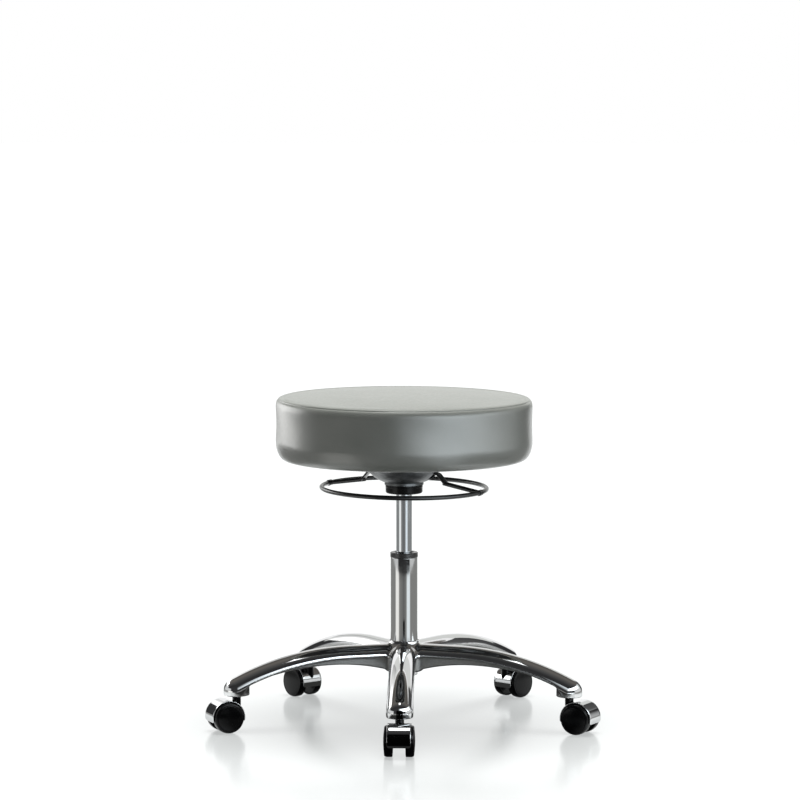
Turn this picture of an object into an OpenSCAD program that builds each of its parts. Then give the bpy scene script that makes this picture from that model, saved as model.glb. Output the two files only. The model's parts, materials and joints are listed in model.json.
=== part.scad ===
// A rolling stool: round boxed cushion, gas lift with a ring release, polished five-arm base on casters.
// Millimetres. The origin is on the floor under the column, +Z is up and the first arm points along -Y.

/* [Seat] */
// Diameter of the cushion at its widest
seat_d = 436; // [380:2:480]
// Height of the cushion from its underside up to the seam of the top panel
side_h = 103.4; // [80:0.2:120]
// Height of the crown above the seam
crown_h = 8.7; // [5:0.1:14]
// Diameter of the flat middle of the crown
crown_flat_d = 160; // [100:2:200]
// Thickness of the vinyl
cover_t = 1.4; // [1:0.1:2]
// Thickness of the plywood seat board
board_t = 12; // [10:1:18]

/* [Release ring] */
// Diameter of the release ring on the middle of its wire
ring_d = 280.6; // [250:0.2:320]
// Diameter of the ring's wire
ring_wire_d = 7.8; // [6:0.1:9]
// Height of the ring's middle above the bottom of the cup
ring_rise = 9.1; // [7:0.1:14]
// Lean of the ring towards its sagging side, in degrees
ring_lean = 0.7; // [0:0.1:1]

/* [Mechanism] */
// Diameter of the black cup under the mechanism
cup_d = 64; // [60:0.2:70]
// Height of the cup
cup_h = 15; // [14:0.5:20]
// Height of the pressed steel bowl between the cup and the flange
bowl_h = 39.9; // [37:0.1:44]
// Radius of the bowl's curved side
bowl_r = 52; // [50:0.5:56]
// Diameter of the bolted flange
flange_d = 188; // [184:1:200]
// Thickness of the flange
flange_t = 3; // [2.5:0.5:4]

/* [Column] */
// Outer diameter of the column tube
column_d = 46.5; // [45:0.5:50]
// Length of the column tube
column_len = 201.5; // [195:0.5:230]
// Height of the collar on top of the column
collar_h = 9; // [7:0.5:12]
// Diameter of the gas cylinder
cylinder_d = 27.2; // [25:0.2:28]
// Length of cylinder that shows with the seat at its highest
cylinder_show = 101; // [100:1:110]
// Height adjustment
lift_travel = 95; // [80:1:97]

/* [Base] */
// Distance from the column to each caster stem
arm_reach = 295; // [260:1:330]
// Width of each arm, which is also the diameter of its rounded end
arm_w = 44; // [40:0.5:48]
// Depth of an arm's rounded cap
arm_h = 20.5; // [18:0.5:21.5]
// Distance from the column at which the arms start to curve down
arm_flat_r = 95; // [85:1:105]
// Radius of the arms' curved top
arch_r = 480; // [440:5:560]
// Height of the arms' tops at the hub above their rounded ends' undersides
base_rise = 76.3; // [70:0.1:82]

/* [Casters] */
// Diameter of each wheel
wheel_d = 52; // [48:1:56]
// Width of each wheel
wheel_w = 15.3; // [13:0.1:17]
// Gap between the two wheels of a caster
wheel_gap = 21.6; // [20:0.2:24]
// Distance from the stem to the axle
caster_trail = 20.6; // [18:0.2:23]
// Diameter of the caster stem
stem_d = 11; // [9.5:0.1:11.5]

/* [Hidden] */
$fn = 72;
// Overrun of every cut past the face it leaves
over = 1;
// Clearance around pieces that turn or slide in each other, on the radius
run_gap = 0.05;
// Gap between faces of different moving pieces
face_gap = 0.3;
// Number of arms and casters
arm_count = 5;
arm_step = 360 / arm_count;
// Direction in which each caster trails, in degrees around the column from the front
trail_angles = [-0.6, 62.4, 137.4, 221.4, 294.4];

// Casters, from the floor up
wheel_r = wheel_d / 2;
wheel_out = wheel_gap / 2 + wheel_w;
hood_gap = 1.4;
hood_t = 1.6;
hood_in_r = wheel_r + hood_gap;
hood_r = hood_in_r + hood_t;
hood_overlap = 8.9;
hood_w = wheel_gap + 2 * hood_overlap;
hood_angle = 14;
neck_r = 7.2;
neck_show = 5.7;
boss_z = wheel_r + hood_r + neck_show;
axle_r = 3;
axle_inset = 2.6;
stem_r = stem_d / 2;
stem_seat = 20;
sleeve_wall = 2;
sleeve_r = stem_r + run_gap + sleeve_wall;
sleeve_h = 22.5;
sleeve_flange_t = 1.4;
sleeve_flange_w = 1.5;
sleeve_flange_r = sleeve_r + sleeve_flange_w;
core_gap = 0.4;
core_w = wheel_gap - 2 * core_gap;
core_low = 7;
cap_share = 0.83;
cap_r = wheel_r * cap_share;
cap_t = 2.2;
cap_gap = 0.15;
cap_bulge = 1.5;
tread_edge = 2.5;

// Base
arm_top = boss_z + base_rise;
tube_r = arm_w / 2;
path_r = arch_r - tube_r;
arch_z = arm_top - arch_r;
arch_angle = asin((arm_reach - arm_flat_r) / path_r);
end_z = arch_z + path_r * cos(arch_angle);
hub_h = 46.5;
hub_z = arm_top - hub_h;
hub_wall = 9.5;
hub_r = column_d / 2 + hub_wall;
hub_lip = 2;
hub_lip_h = 5.5;
hub_rim_z = arm_top - arm_h / 2;
arm_start = column_d / 2 + hub_lip;
web_w = 15;
web_arch_r = 350;
web_peak_r = 125;
web_rise = 14.5;
web_end_r = 215;

// Column and gas lift
column_r = column_d / 2;
column_wall = 1.5;
column_tail = 8;
column_z = hub_z - column_tail;
column_top = column_z + column_len;
column_plate_t = 4;
column_in_r = column_r - column_wall;
collar_proud = 0.55;
collar_r = column_r + collar_proud;
collar_edge = 1.2;
collar_z = column_top + collar_h;
cylinder_r = cylinder_d / 2;
cylinder_wall = 1.8;
cylinder_in_r = cylinder_r - cylinder_wall;
guide_h = 80;
race_t = 1.5;
race_r = 12;
ball_r = 1.9;
ball_count = 12;
ball_path_r = 8.4;
cage_t = 1.2;
cage_gap = 0.15;
rod_r = 5;
stub_r = 4;
bumper_r = 10;
bumper_h = 8;
clip_groove_r = 3;
clip_r = 7.5;
clip_t = 1.2;
clip_mouth = 5;
stub_end = 4;
race_z = column_z + column_plate_t;
ball_z = race_z + race_t + run_gap + ball_r;
upper_race_z = ball_z + ball_r + run_gap;
shoulder_z = upper_race_z + race_t;
bumper_z = shoulder_z;
bumper_top = bumper_z + bumper_h;
stop_gap = 1;
cylinder_z = bumper_top + lift_travel + stop_gap;
seal_h = 14;
head_gap = 0.5;
head_h = 10;
head_seal_h = 3;
head_seal_depth = 2;
head_z = cylinder_z + seal_h + head_gap;
rivet_h = 2;
rivet_r = 6;
cup_z = collar_z + cylinder_show;

// Mechanism
cup_r = cup_d / 2;
cup_wall = 2;
cup_edge = 4;
cup_floor = 2.5;
plate_z = cup_z + cup_h;
plate_t = 2.5;
rim_proud = 1.3;
rim_r = cup_r + rim_proud;
rim_h = 4;
rim_step = 0.8;
rim_in = 5;
bowl_angle = 15;
bowl_x = rim_r - rim_step - bowl_r * sin(bowl_angle);
bowl_z = plate_z + rim_h + bowl_r * cos(bowl_angle);
flange_z = plate_z + bowl_h;
bowl_top_r = bowl_x + sqrt(bowl_r * bowl_r - (bowl_z - flange_z) * (bowl_z - flange_z));
flange_r = flange_d / 2;
seat_z = flange_z + flange_t;
socket_wall = 4.4;
socket_r = cylinder_r + socket_wall;
socket_low = 3.5;
socket_h = 30;
socket_z = cup_z + socket_low;
taper_drop = 0.7;
taper_r = cylinder_r - taper_drop;
cylinder_rise = 22.5;
cylinder_top = plate_z + cylinder_rise;
cylinder_plug = 12;
pin_r = 4;
pin_h = 21;
pin_show = 6;
pin_top = cylinder_top + pin_show;
lever_angle = 66.9;
lever_w = 16;
lever_t = 3;
lever_pad_r = 14;
lever_z = pin_top + face_gap + lever_t / 2;
lever_rise = 21;
lever_flat_z = plate_z + lever_rise;
lever_flat_r = 48;
lever_knee_r = 63.7;
lever_foot_r = 78.9;
lever_foot_rise = 3.2;
lever_foot_z = plate_z + lever_foot_rise;
slot_gap = 1.3;
slot_w = lever_w + 2 * slot_gap;
slot_top = lever_flat_z + lever_t / 2 + face_gap;
slot_h = 12;
ring_r = ring_d / 2;
wire_r = ring_wire_d / 2;
ring_z = cup_z + ring_rise;
spoke_r = 3.8;
spoke_in_r = 73;
spoke_in_rise = 5.2;
ring_collar_t = 1.3;
ring_collar_r = wire_r + ring_collar_t;
ring_collar_h = 10;

// Seat, from its underside up
dust_t = 1;
dust_r = 184;
cover_z = seat_z + dust_t;
board_z = cover_z + cover_t;
board_top = board_z + board_t;
seat_r = seat_d / 2;
board_margin = 21;
board_r = seat_r - board_margin;
lip_w = 37;
lip_r = board_r - lip_w;
low_corner_w = 16;
low_corner_h = 31.6;
high_corner_w = 5;
high_corner_h = 16;
waist = 0.8;
seam_z = cover_z + side_h;
seam_depth = 1.2;
foam_gap = 0.3;
seam_r = seat_r - high_corner_w;
corner_steps = 6;
side_steps = 6;
crown_steps = 9;
crown_power = 4;
screw_count = 4;
screw_circle_r = 82;
screw_r = 3;
screw_clear = 0.3;
screw_head_r = 5.5;
screw_head_h = 3.5;
screw_socket_r = 2.3;
screw_socket_h = 2;
nut_barrel_r = 4.2;
nut_barrel_h = 10;
nut_flange_r = 9;
nut_flange_t = 1.4;
screw_end = 1;
staple_count = 30;
staple_w = 10;
staple_t = 0.7;
staple_wire = 1.2;
staple_leg = 7;
staple_margin = 7;
staple_circle_r = dust_r - staple_margin;

// Puts its children on the vertical plane that lies this many degrees around the column from the front
module towards(direction) {
    rotate([0, 0, direction - 90]) children();
}

// A round bar between two places in the plane of a direction, given as distance out and height
module bar(from, to, r) {
    run = to - from;
    translate([from[0], 0, from[1]])
        rotate([0, 90 - atan2(run[1], run[0]), 0])
            cylinder(r = r, h = norm(run));
}

module ring_of(outer, inner, h) {
    difference() {
        cylinder(r = outer, h = h);
        translate([0, 0, -over]) cylinder(r = inner, h = h + 2 * over);
    }
}

// Half-round section of an arm's cap, flat below, with its rounded top towards +X
module cap_section() {
    intersection() {
        circle(r = tube_r);
        translate([tube_r - arm_h, -tube_r]) square([arm_h, arm_w]);
    }
}

module arm_cap() {
    translate([arm_start, 0, arm_top - tube_r])
        rotate([0, 90, 0])
            rotate([0, 0, 180])
                linear_extrude(height = arm_flat_r - arm_start) cap_section();
    translate([arm_flat_r, 0, arch_z])
        rotate([90, 0, 0])
            rotate([0, 0, 90 - arch_angle])
                rotate_extrude(angle = arch_angle)
                    translate([path_r, 0]) cap_section();
}

module arm_end() {
    translate([arm_reach, 0, boss_z]) {
        cylinder(r = tube_r, h = end_z - boss_z);
        intersection() {
            translate([0, 0, end_z - boss_z]) sphere(r = tube_r);
            cylinder(r = arm_w, h = arm_w);
        }
    }
}

// The narrower web under the cap, arched below
module arm_web() {
    web_top_r = arch_r - arm_h / 2;
    translate([0, web_w / 2, 0])
        rotate([90, 0, 0])
            linear_extrude(height = web_w)
                difference() {
                    intersection() {
                        translate([arm_start, hub_z]) square([web_end_r - arm_start, hub_h]);
                        union() {
                            translate([arm_flat_r, arch_z]) circle(r = web_top_r, $fn = 360);
                            square([arm_flat_r, arm_top - arm_h / 2]);
                        }
                    }
                    translate([web_peak_r, hub_z + web_rise - web_arch_r])
                        circle(r = web_arch_r, $fn = 360);
                }
}

module arm() {
    difference() {
        union() {
            arm_cap();
            arm_end();
            arm_web();
        }
        translate([arm_reach, 0, boss_z - over])
            cylinder(r = sleeve_r + run_gap, h = sleeve_h + over);
    }
}

module hub() {
    difference() {
        union() {
            translate([0, 0, hub_z]) cylinder(r = hub_r, h = hub_rim_z - hub_z);
            translate([0, 0, hub_rim_z])
                cylinder(r1 = hub_r, r2 = column_r + hub_lip, h = arm_top + hub_lip_h - hub_rim_z);
        }
        translate([0, 0, hub_z - arm_top]) cylinder(r = column_r + run_gap, h = 2 * arm_top);
    }
}

module star_base() {
    color("silver") union() {
        hub();
        for (i = [0:arm_count - 1]) towards(i * arm_step) arm();
    }
}

module caster_sleeves() {
    color("dimgray") for (i = [0:arm_count - 1]) towards(i * arm_step)
        translate([arm_reach, 0, boss_z]) {
            ring_of(sleeve_r, stem_r + run_gap, sleeve_h);
            translate([0, 0, -sleeve_flange_t])
                ring_of(sleeve_flange_r, stem_r + run_gap, sleeve_flange_t);
        }
}

module column_tube() {
    color("silver") translate([0, 0, column_z]) difference() {
        cylinder(r = column_r, h = column_len);
        translate([0, 0, column_plate_t]) cylinder(r = column_in_r, h = column_len);
        translate([0, 0, -over]) cylinder(r = stub_r + run_gap, h = column_plate_t + 2 * over);
    }
}

module column_collar() {
    bore = cylinder_r + face_gap;
    color("dimgray") translate([0, 0, column_top]) rotate_extrude()
        polygon([[bore, 0], [collar_r - collar_edge / 2, 0], [collar_r, collar_edge / 2],
                 [collar_r, collar_h - collar_edge], [collar_r - collar_edge, collar_h], [bore, collar_h]]);
}

module guide_sleeve() {
    color("ivory") translate([0, 0, column_top - guide_h])
        ring_of(column_in_r - run_gap, cylinder_r + run_gap, guide_h);
}

module race(z) {
    color("gray") translate([0, 0, z]) ring_of(race_r, stub_r + run_gap, race_t);
}

module lower_race() {
    race(race_z);
}

module upper_race() {
    race(upper_race_z);
}

// Places of the bearing balls around the rod
module at_balls() {
    for (i = [0:ball_count - 1])
        rotate([0, 0, i * 360 / ball_count])
            translate([ball_path_r, 0, ball_z]) children();
}

module bearing_balls() {
    color("silver") at_balls() sphere(r = ball_r);
}

module ball_cage() {
    color("goldenrod") difference() {
        translate([0, 0, ball_z - cage_t / 2])
            ring_of(race_r, stub_r + 2 * run_gap, cage_t);
        at_balls() translate([0, 0, -cage_t])
            cylinder(r = ball_r + cage_gap, h = 2 * cage_t);
    }
}

module piston_rod() {
    color("lightgray") difference() {
        union() {
            translate([0, 0, column_z - stub_end]) cylinder(r = stub_r, h = shoulder_z - column_z + stub_end);
            translate([0, 0, shoulder_z]) cylinder(r = rod_r, h = head_z - shoulder_z);
            translate([0, 0, head_z]) cylinder(r = stub_r, h = head_h + rivet_h);
            translate([0, 0, head_z + head_h]) cylinder(r = rivet_r, h = rivet_h);
        }
        translate([0, 0, column_z - face_gap - clip_t])
            ring_of(stub_r + over, clip_groove_r, clip_t);
    }
}

module piston_head() {
    groove_z = head_z + (head_h - head_seal_h) / 2;
    color("gray") difference() {
        translate([0, 0, head_z]) ring_of(cylinder_in_r - run_gap, stub_r + run_gap, head_h);
        translate([0, 0, groove_z])
            ring_of(cylinder_in_r + over, cylinder_in_r - head_seal_depth, head_seal_h);
    }
}

module piston_seal() {
    color("black") translate([0, 0, head_z + (head_h - head_seal_h) / 2])
        ring_of(cylinder_in_r - run_gap, cylinder_in_r - head_seal_depth, head_seal_h);
}

module rod_bumper() {
    color("black") translate([0, 0, bumper_z]) ring_of(bumper_r, rod_r + run_gap, bumper_h);
}

module rod_clip() {
    color("gray") translate([0, 0, column_z - face_gap - clip_t]) difference() {
        ring_of(clip_r, clip_groove_r + run_gap, clip_t);
        translate([0, -clip_mouth / 2, -over]) cube([clip_r + over, clip_mouth, clip_t + 2 * over]);
    }
}

module gas_cylinder() {
    straight = socket_z - cylinder_z;
    color("lightsteelblue") difference() {
        union() {
            translate([0, 0, cylinder_z]) cylinder(r = cylinder_r, h = straight);
            translate([0, 0, socket_z]) cylinder(r1 = cylinder_r, r2 = taper_r, h = cylinder_top - socket_z);
        }
        translate([0, 0, cylinder_z - over])
            cylinder(r = cylinder_in_r, h = cylinder_top - cylinder_plug - cylinder_z + over);
        translate([0, 0, cylinder_z]) cylinder(r = pin_r + run_gap, h = cylinder_top);
    }
}

module rod_seal() {
    color("black") translate([0, 0, cylinder_z]) ring_of(cylinder_in_r - run_gap, rod_r + run_gap, seal_h);
}

module valve_pin() {
    color("gray") translate([0, 0, pin_top - pin_h]) cylinder(r = pin_r, h = pin_h);
}

// The tapered bore is the cylinder's own taper with a fitting clearance
module taper_socket() {
    slope = (cylinder_r - taper_r) / (cylinder_top - socket_z);
    color("gray") translate([0, 0, socket_z]) difference() {
        cylinder(r = socket_r, h = socket_h);
        translate([0, 0, -over])
            cylinder(r1 = cylinder_r + run_gap + over * slope,
                     r2 = cylinder_r + run_gap - (socket_h + over) * slope, h = socket_h + 2 * over);
    }
}

module socket_cup() {
    color("black") translate([0, 0, cup_z]) difference() {
        rotate_extrude() difference() {
            union() {
                translate([0, cup_edge]) square([cup_r, cup_h - cup_edge]);
                square([cup_r - cup_edge, cup_edge]);
                translate([cup_r - cup_edge, cup_edge]) circle(r = cup_edge);
            }
            translate([-cup_r, 0]) square([cup_r, cup_h]);
        }
        translate([0, 0, cup_floor]) cylinder(r = cup_r - cup_wall, h = cup_h);
        translate([0, 0, -over]) cylinder(r = cylinder_r + face_gap, h = cup_h);
    }
}

module at_screws() {
    for (i = [0:screw_count - 1])
        towards(lever_angle + (i + 1 / 2) * 360 / screw_count)
            translate([screw_circle_r, 0, 0]) children();
}

// Pressed plate: a rim over the cup, a bowl that steepens outwards, and the flange that bolts to the board
module seat_plate() {
    flange_in_r = bowl_top_r - plate_t / 3;
    color("dimgray") difference() {
        rotate_extrude() {
            translate([socket_r + run_gap, plate_z]) square([rim_r - socket_r - run_gap, rim_h]);
            intersection() {
                translate([bowl_x, bowl_z]) difference() {
                    circle(r = bowl_r, $fn = 360);
                    circle(r = bowl_r - plate_t, $fn = 360);
                }
                translate([rim_r - rim_in, plate_z]) square([flange_r - rim_r + rim_in, seat_z - plate_z]);
            }
            translate([flange_in_r, flange_z]) square([flange_r - flange_in_r, flange_t]);
        }
        towards(lever_angle) for (side = [0, 1]) mirror([side, 0, 0])
            translate([cup_r, -slot_w / 2, slot_top - slot_h])
                cube([bowl_top_r - cup_r, slot_w, slot_h]);
        at_screws() translate([0, 0, flange_z - over])
            cylinder(r = screw_r + screw_clear, h = flange_t + 2 * over);
    }
}

module seat_screws() {
    color("gray") at_screws() difference() {
        union() {
            translate([0, 0, flange_z - screw_head_h]) cylinder(r = screw_head_r, h = screw_head_h);
            translate([0, 0, flange_z]) cylinder(r = screw_r, h = board_top + screw_end - flange_z);
        }
        translate([0, 0, flange_z - screw_head_h - over])
            cylinder(r = screw_socket_r, h = screw_socket_h + over, $fn = 6);
    }
}

module t_nuts() {
    color("gray") at_screws() difference() {
        union() {
            translate([0, 0, board_top - nut_barrel_h]) cylinder(r = nut_barrel_r, h = nut_barrel_h);
            translate([0, 0, board_top]) cylinder(r = nut_flange_r, h = nut_flange_t);
        }
        translate([0, 0, board_z]) cylinder(r = screw_r + run_gap, h = 2 * board_t);
    }
}

module seat_board() {
    color("burlywood") difference() {
        translate([0, 0, board_z]) cylinder(r = board_r, h = board_t);
        at_screws() translate([0, 0, board_z - over])
            cylinder(r = nut_barrel_r + run_gap, h = board_t + 2 * over);
    }
}

// Side of the cushion from its underside up to the seam, pushed in by an inset
function low_corner(inset) = [for (i = [0:corner_steps])
    let (a = -90 + 90 * i / corner_steps)
    [seat_r - low_corner_w + (low_corner_w - inset) * cos(a),
     cover_z + low_corner_h + (low_corner_h - inset) * sin(a)]];
function side_wall(inset) = [for (i = [1:side_steps - 1])
    let (share = i / side_steps)
    [seat_r - inset - waist * sin(180 * share),
     cover_z + low_corner_h + share * (side_h - low_corner_h - high_corner_h)]];
function high_corner(inset) = [for (i = [0:corner_steps])
    let (a = 90 * i / corner_steps)
    [seam_r + (high_corner_w - inset / 2) * cos(a) - inset / 2,
     seam_z - high_corner_h + (high_corner_h - inset) * sin(a)]];

// Top panel from the seam in to the flat middle: it puffs up behind the seam and then stays nearly level
function crown(inset) = let (flat_r = crown_flat_d / 2, edge_r = seam_r - seam_depth - inset / 2)
    [for (i = [0:crown_steps])
        let (r = edge_r + (flat_r - edge_r) * pow(i / crown_steps, 2))
        [r, seam_z - inset + crown_h * (1 - pow((r - flat_r) / (edge_r - flat_r), crown_power))]];
function cushion(inset) = concat(low_corner(inset), side_wall(inset), high_corner(inset), crown(inset));

module foam_core() {
    inset = cover_t + foam_gap;
    color("khaki") difference() {
        rotate_extrude()
            polygon(concat([[0, cover_z + inset]], cushion(inset), [[0, seam_z + crown_h - inset]]));
        cylinder(r = board_r + foam_gap, h = board_top);
        at_screws() translate([0, 0, board_top - over])
            cylinder(r = nut_flange_r + foam_gap, h = nut_flange_t + over + foam_gap);
    }
}

module vinyl_cover() {
    seam = [[seam_r - seam_depth, seam_z - seam_depth]];
    color("darkgray") rotate_extrude() difference() {
        polygon(concat([[0, cover_z]], low_corner(0), side_wall(0), high_corner(0), seam, crown(0),
                       [[0, seam_z + crown_h]]));
        polygon(concat([[0, cover_z + cover_t]], cushion(cover_t), [[0, seam_z + crown_h - cover_t]]));
        translate([0, cover_z - over]) square([lip_r, cover_t + 2 * over]);
    }
}

module dust_cover() {
    color("black") difference() {
        translate([0, 0, seat_z]) cylinder(r = dust_r, h = dust_t);
        at_screws() translate([0, 0, seat_z - over])
            cylinder(r = screw_r + screw_clear, h = dust_t + 2 * over);
    }
}

module staples() {
    color("silver") for (i = [0:staple_count - 1])
        rotate([0, 0, i * 360 / staple_count])
            translate([staple_circle_r, -staple_w / 2, seat_z - staple_t]) {
                cube([staple_wire, staple_w, staple_t]);
                for (y = [0, staple_w - staple_wire])
                    translate([0, y, 0]) cube([staple_wire, staple_wire, staple_t + staple_leg]);
            }
}

// Outline of a flat strip of one thickness along a path, mitred at its bends
function unit(v) = v / norm(v);
function left_of(from, to) = let (run = unit(to - from)) [-run[1], run[0]];
function edge_point(path, i, offset) = let (
        last = len(path) - 1,
        before = left_of(path[max(i - 1, 0)], path[max(i, 1)]),
        after = left_of(path[min(i, last - 1)], path[min(i + 1, last)]),
        middle = unit(before + after))
    path[i] + middle * offset / (middle * before);
function strip(path, thickness) = concat(
    [for (i = [0:len(path) - 1]) edge_point(path, i, thickness / 2)],
    [for (i = [len(path) - 1:-1:0]) edge_point(path, i, -thickness / 2)]);

// The lever lies across both slots, and each of its feet is notched to sit over a spoke
module lever_bar() {
    half = [[lever_pad_r, lever_z], [lever_flat_r, lever_flat_z], [lever_knee_r, lever_flat_z],
            [lever_foot_r, lever_foot_z]];
    whole = concat([for (i = [len(half) - 1:-1:0]) [-half[i][0], half[i][1]]], half);
    color("black") towards(lever_angle) difference() {
        translate([0, lever_w / 2, 0]) rotate([90, 0, 0])
            linear_extrude(height = lever_w) polygon(strip(whole, lever_t));
        for (side = [1, -1]) mirror([side < 0 ? 1 : 0, 0, 0]) spoke(side, spoke_r + run_gap);
    }
}

// Place on the leaning ring on one side of the lever, as distance out and height
function ring_place(side) = [ring_r * cos(ring_lean), ring_z - side * ring_r * sin(ring_lean)];

// Round bar from inside the lever's foot out to the ring
module spoke(side, r) {
    bar([spoke_in_r, plate_z + spoke_in_rise], ring_place(side), r);
}

module ring_spokes() {
    color("black") towards(lever_angle) for (side = [1, -1]) mirror([side < 0 ? 1 : 0, 0, 0])
        spoke(side, spoke_r);
}

module release_ring() {
    color("black") towards(lever_angle)
        translate([0, 0, ring_z]) rotate([0, ring_lean, 0])
            rotate_extrude($fn = 144) translate([ring_r, 0]) circle(r = wire_r);
}

module ring_collars() {
    color("black") towards(lever_angle) for (side = [1, -1]) mirror([side < 0 ? 1 : 0, 0, 0])
        translate([ring_place(side)[0], ring_collar_h / 2, ring_place(side)[1]])
            rotate([90, 0, 0]) cylinder(r = ring_collar_r, h = ring_collar_h);
}

// Puts its children on a caster: the stem is the origin and the axle lies along +X from it
module on_caster(i) {
    towards(i * arm_step) translate([arm_reach, 0, 0])
        rotate([0, 0, trail_angles[i] - i * arm_step]) children();
}

// A disc or bore across a caster, on its axle
module across(r, w) {
    translate([caster_trail, w / 2, wheel_r]) rotate([90, 0, 0]) cylinder(r = r, h = w);
}

module caster_hood(i) {
    color("silver") on_caster(i) difference() {
        across(hood_r, hood_w);
        across(hood_in_r, hood_w + 2 * over);
        translate([caster_trail, 0, wheel_r]) for (side = [0, 1]) mirror([side, 0, 0])
            rotate([0, hood_angle, 0])
                translate([-over, -hood_w, -2 * hood_r]) cube([2 * hood_r, 2 * hood_w, 2 * hood_r]);
        cylinder(r = neck_r + run_gap, h = wheel_d + hood_r);
    }
}

module caster_core(i) {
    color("black") on_caster(i) difference() {
        union() {
            intersection() {
                across(hood_in_r - run_gap, core_w);
                translate([caster_trail - wheel_d, -wheel_gap, wheel_r - core_low])
                    cube([2 * wheel_d, 2 * wheel_gap, wheel_d]);
            }
            translate([0, 0, wheel_r]) cylinder(r = neck_r, h = boss_z - sleeve_flange_t - face_gap - wheel_r);
        }
        across(axle_r + run_gap, 2 * wheel_gap);
        translate([0, 0, boss_z - stem_seat - neck_show]) cylinder(r = stem_r + run_gap, h = boss_z);
    }
}

module caster_stem(i) {
    low = boss_z - stem_seat - neck_show;
    axle_len = 2 * (wheel_out - cap_t - cap_bulge - axle_inset);
    color("gray") on_caster(i) {
        translate([0, 0, low]) cylinder(r = stem_r, h = boss_z + sleeve_h - over - low);
        across(axle_r, axle_len);
    }
}

// One wheel with its domed hub cap, on the side that the sign gives
module caster_wheel(i, side) {
    color("black") on_caster(i)
        translate([caster_trail, side * wheel_gap / 2, wheel_r]) rotate([-90 * side, 0, 0]) {
            difference() {
                rotate_extrude()
                    polygon([[0, 0], [wheel_r - tread_edge / 2, 0], [wheel_r, tread_edge / 2],
                             [wheel_r, wheel_w - tread_edge - cap_bulge],
                             [wheel_r - tread_edge, wheel_w - cap_bulge], [0, wheel_w - cap_bulge]]);
                translate([0, 0, -over])
                    cylinder(r = axle_r + run_gap, h = wheel_w - cap_bulge - cap_t - axle_inset / 2 + over);
                translate([0, 0, wheel_w - cap_bulge - cap_t]) cylinder(r = cap_r, h = cap_t + over);
            }
            translate([0, 0, wheel_w - cap_bulge - cap_t + run_gap]) cap_disc();
        }
}

// A thin disc with a spherical face
module cap_disc() {
    edge_r = cap_r - cap_gap;
    dome_r = (edge_r * edge_r + cap_bulge * cap_bulge) / (2 * cap_bulge);
    cylinder(r = edge_r, h = cap_t);
    intersection() {
        cylinder(r = edge_r, h = cap_t + cap_bulge);
        translate([0, 0, cap_t + cap_bulge - dome_r]) sphere(r = dome_r);
    }
}

star_base();
caster_sleeves();
column_tube();
column_collar();
guide_sleeve();
lower_race();
bearing_balls();
ball_cage();
upper_race();
piston_rod();
piston_head();
piston_seal();
rod_bumper();
rod_clip();
gas_cylinder();
rod_seal();
valve_pin();
taper_socket();
socket_cup();
seat_plate();
seat_screws();
t_nuts();
seat_board();
foam_core();
vinyl_cover();
dust_cover();
staples();
lever_bar();
ring_spokes();
release_ring();
ring_collars();
for (i = [0:arm_count - 1]) {
    caster_hood(i);
    caster_core(i);
    caster_stem(i);
    caster_wheel(i, 1);
    caster_wheel(i, -1);
}
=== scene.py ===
import json
import math

import bpy
import numpy as np
from mathutils import Matrix, Vector

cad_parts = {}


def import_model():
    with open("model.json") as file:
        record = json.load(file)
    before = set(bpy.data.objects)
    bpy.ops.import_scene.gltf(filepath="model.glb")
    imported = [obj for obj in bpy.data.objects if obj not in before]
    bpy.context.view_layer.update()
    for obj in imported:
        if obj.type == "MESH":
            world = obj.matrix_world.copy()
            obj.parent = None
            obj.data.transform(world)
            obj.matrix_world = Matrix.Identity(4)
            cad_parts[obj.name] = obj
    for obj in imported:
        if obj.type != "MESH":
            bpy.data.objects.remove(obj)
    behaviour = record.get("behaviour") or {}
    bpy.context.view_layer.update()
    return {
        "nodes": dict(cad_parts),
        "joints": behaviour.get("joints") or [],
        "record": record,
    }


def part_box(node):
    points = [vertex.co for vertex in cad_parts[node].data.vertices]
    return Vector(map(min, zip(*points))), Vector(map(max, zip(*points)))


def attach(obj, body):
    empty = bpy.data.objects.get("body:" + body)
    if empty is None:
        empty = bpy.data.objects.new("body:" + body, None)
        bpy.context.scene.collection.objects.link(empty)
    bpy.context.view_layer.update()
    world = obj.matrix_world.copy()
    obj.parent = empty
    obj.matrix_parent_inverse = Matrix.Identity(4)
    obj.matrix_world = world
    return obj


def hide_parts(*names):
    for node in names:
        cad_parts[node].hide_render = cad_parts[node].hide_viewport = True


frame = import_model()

MM = 0.001
JOINTS = {joint["name"]: joint for joint in frame["joints"]}

# Every size below is in millimetres, with +Z up from the floor and the first arm along -Y.
UP = 2


def low(name, axis=UP):
    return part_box(name)[0][axis] / MM


def high(name, axis=UP):
    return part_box(name)[1][axis] / MM


# Meshes

def new_object(name, points, faces):
    """A smooth mesh object from points in millimetres."""
    mesh = bpy.data.meshes.new(name)
    mesh.from_pydata((np.asarray(points, float) * MM).tolist(), [], [list(map(int, f)) for f in faces])
    mesh.validate()
    mesh.update()
    mesh.shade_smooth()
    piece = bpy.data.objects.new(name, mesh)
    bpy.context.scene.collection.objects.link(piece)
    return piece


def grid_faces(rows, columns, closed_rows=False, closed_columns=False):
    """Quads between the points of a grid that is stored row by row."""
    faces = []
    for i in range(rows if closed_rows else rows - 1):
        for j in range(columns if closed_columns else columns - 1):
            a, b = i % rows, (i + 1) % rows
            c, d = j % columns, (j + 1) % columns
            faces.append((a * columns + c, a * columns + d, b * columns + d, b * columns + c))
    return faces


def run_faces(rows, columns):
    """Faces of a run of closed sections, with a face on each end."""
    ends = [tuple(range(columns))[::-1], tuple((rows - 1) * columns + j for j in range(columns))]
    return grid_faces(rows, columns, closed_columns=True) + ends


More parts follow.
